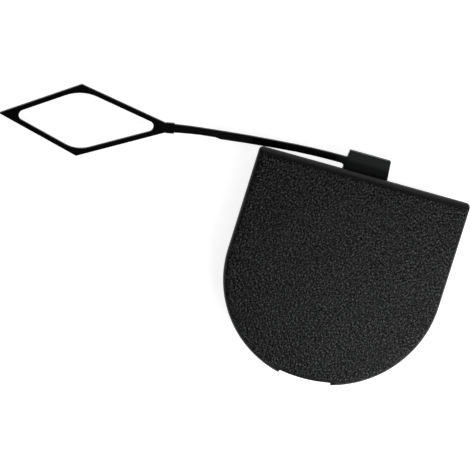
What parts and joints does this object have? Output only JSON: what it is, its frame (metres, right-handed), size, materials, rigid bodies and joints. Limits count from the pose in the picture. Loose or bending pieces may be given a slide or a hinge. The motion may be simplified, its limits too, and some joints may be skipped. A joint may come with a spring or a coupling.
{
  "type": "bumper tow hook cover",
  "caption": "Half-round moulded cover that clips into a bumper's towing-eye opening, with a tongue at its flat side and a tether that ends in a kite-shaped loop.",
  "frame": {"origin": "centre of the round end's arc, on the plane of the collar's rim, which the cover lies on", "axes": "+Z out of the face, +Y towards the flat side and the tongue, and the tether runs off along -X"},
  "size_m": [0.1521, 0.0745, 0.011],
  "materials": {
    "black_plastic": "unpainted black polypropylene, fine spark grain on the face, satin smooth on the lip, tongue and tether"
  },
  "bodies": {
    "root": {"tow_hook_cover": "black_plastic"}
  },
  "joints": []
}
